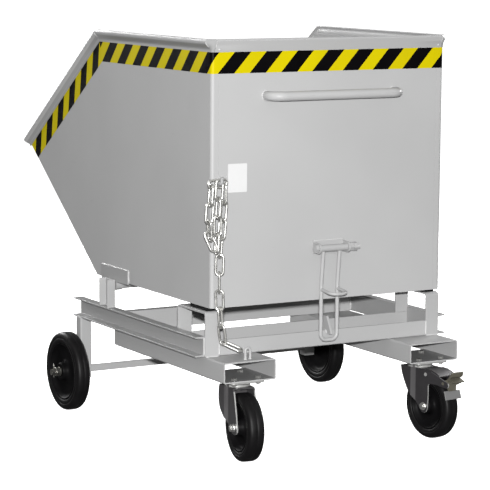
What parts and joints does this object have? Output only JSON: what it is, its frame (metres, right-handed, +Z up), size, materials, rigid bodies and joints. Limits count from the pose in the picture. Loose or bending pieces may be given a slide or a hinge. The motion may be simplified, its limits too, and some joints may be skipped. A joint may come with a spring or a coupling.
{
  "type": "tipping box trolley",
  "caption": "Tipping sheet-steel hopper on a wheeled channel frame with fork pockets, push handle, hanging bail latch, safety chain and swivel castors with a foot brake.",
  "frame": {"origin": "on the ground, in the middle of the trolley's outline seen from above", "axes": "+Z up, +Y towards the pour lip, +X to the right of someone at the push handle"},
  "size_m": [1.068, 1.4908, 1.2175],
  "materials": {
    "grey_paint": "semi-gloss silver-grey paint",
    "zinc_steel": "zinc plated, slightly dulled",
    "black_tyre": "black solid rubber tread",
    "black_rim": "black moulded rim",
    "black_rubber": "black rubber buffer"
  },
  "bodies": {
    "chassis": {"left_channel": "grey_paint", "right_channel": "grey_paint", "front_crossbeam": "grey_paint", "rear_beam": "grey_paint", "inner_rear_beam": "grey_paint", "left_fork_pocket": "grey_paint", "right_fork_pocket": "grey_paint", "left_strap": "grey_paint", "right_strap": "grey_paint", "rubber_buffers": "black_rubber", "left_tilt_post": "grey_paint", "right_tilt_post": "grey_paint", "left_leg": "grey_paint", "right_leg": "grey_paint", "axle_bar": "grey_paint", "left_stub_axle": "zinc_steel", "right_stub_axle": "zinc_steel", "axle_washers": "zinc_steel", "axle_nuts": "zinc_steel", "split_pins": "zinc_steel", "latch_tongue": "grey_paint", "chain_staple": "grey_paint", "left_castor_plate": "zinc_steel", "right_castor_plate": "zinc_steel", "castor_bolts": "zinc_steel"},
    "box": {"left_side": "grey_paint", "right_side": "grey_paint", "rear_wall": "grey_paint", "box_floor": "grey_paint", "front_wall": "grey_paint", "rear_rim": "grey_paint", "left_rim": "grey_paint", "right_rim": "grey_paint", "push_handle": "grey_paint", "left_hinge_plate": "grey_paint", "right_hinge_plate": "grey_paint", "pivot_lugs": "grey_paint", "pivot_tube": "grey_paint", "pivot_shaft": "zinc_steel", "latch_bracket": "grey_paint", "latch_bolt": "zinc_steel", "latch_nuts": "zinc_steel", "chain_hook": "grey_paint"},
    "latch": {"latch_bail": "grey_paint", "latch_sleeve": "grey_paint"},
    "chain": {"safety_chain": "zinc_steel"},
    "left_front_wheel": {"left_front_tyre": "black_tyre", "left_front_rim": "black_rim"},
    "right_front_wheel": {"right_front_tyre": "black_tyre", "right_front_rim": "black_rim"},
    "left_castor": {"left_castor_fork": "zinc_steel", "left_castor_axle": "zinc_steel"},
    "right_castor": {"right_castor_fork": "zinc_steel", "right_castor_axle": "zinc_steel"},
    "left_castor_wheel": {"left_castor_tyre": "black_tyre", "left_castor_rim": "black_rim"},
    "right_castor_wheel": {"right_castor_tyre": "black_tyre", "right_castor_rim": "black_rim"},
    "brake": {"brake_pedal": "zinc_steel", "brake_shoe": "zinc_steel"}
  },
  "joints": [
    {"name": "box_tip", "type": "hinge", "parent": "chassis", "child": "box", "pos_m": [0, 0.09434, 0.424], "axis": [-1, 0, 0], "range_deg": [0, 60]},
    {"name": "latch_swing", "type": "hinge", "parent": "box", "child": "latch", "pos_m": [-0.0025, -0.56866, 0.597], "axis": [-1, 0, 0], "range_deg": [-1.6, 60]},
    {"name": "chain_swing", "type": "hinge", "parent": "box", "child": "chain", "pos_m": [-0.388, -0.55746, 0.806], "axis": [0, 1, 0], "range_deg": [0, 35]},
    {"name": "left_front_spin", "type": "hinge", "parent": "chassis", "child": "left_front_wheel", "pos_m": [-0.475, 0.26784, 0.125], "axis": [1, 0, 0], "continuous": true},
    {"name": "right_front_spin", "type": "hinge", "parent": "chassis", "child": "right_front_wheel", "pos_m": [0.475, 0.26784, 0.125], "axis": [1, 0, 0], "continuous": true},
    {"name": "left_castor_swivel", "type": "hinge", "parent": "chassis", "child": "left_castor", "pos_m": [-0.321, -0.55916, 0.216], "axis": [0, 0, 1], "continuous": true},
    {"name": "right_castor_swivel", "type": "hinge", "parent": "chassis", "child": "right_castor", "pos_m": [0.321, -0.55916, 0.216], "axis": [0, 0, 1], "continuous": true},
    {"name": "left_castor_spin", "type": "hinge", "parent": "left_castor", "child": "left_castor_wheel", "pos_m": [-0.3289, -0.61915, 0.1], "axis": [0.9914, -0.1305, 0], "continuous": true},
    {"name": "right_castor_spin", "type": "hinge", "parent": "right_castor", "child": "right_castor_wheel", "pos_m": [0.32648, -0.61942, 0.1], "axis": [0.9959, 0.0906, 0], "continuous": true},
    {"name": "brake_press", "type": "hinge", "parent": "right_castor", "child": "brake", "pos_m": [0.33459, -0.70855, 0.184], "axis": [0.9959, 0.0906, 0], "range_deg": [0, 4]}
  ]
}
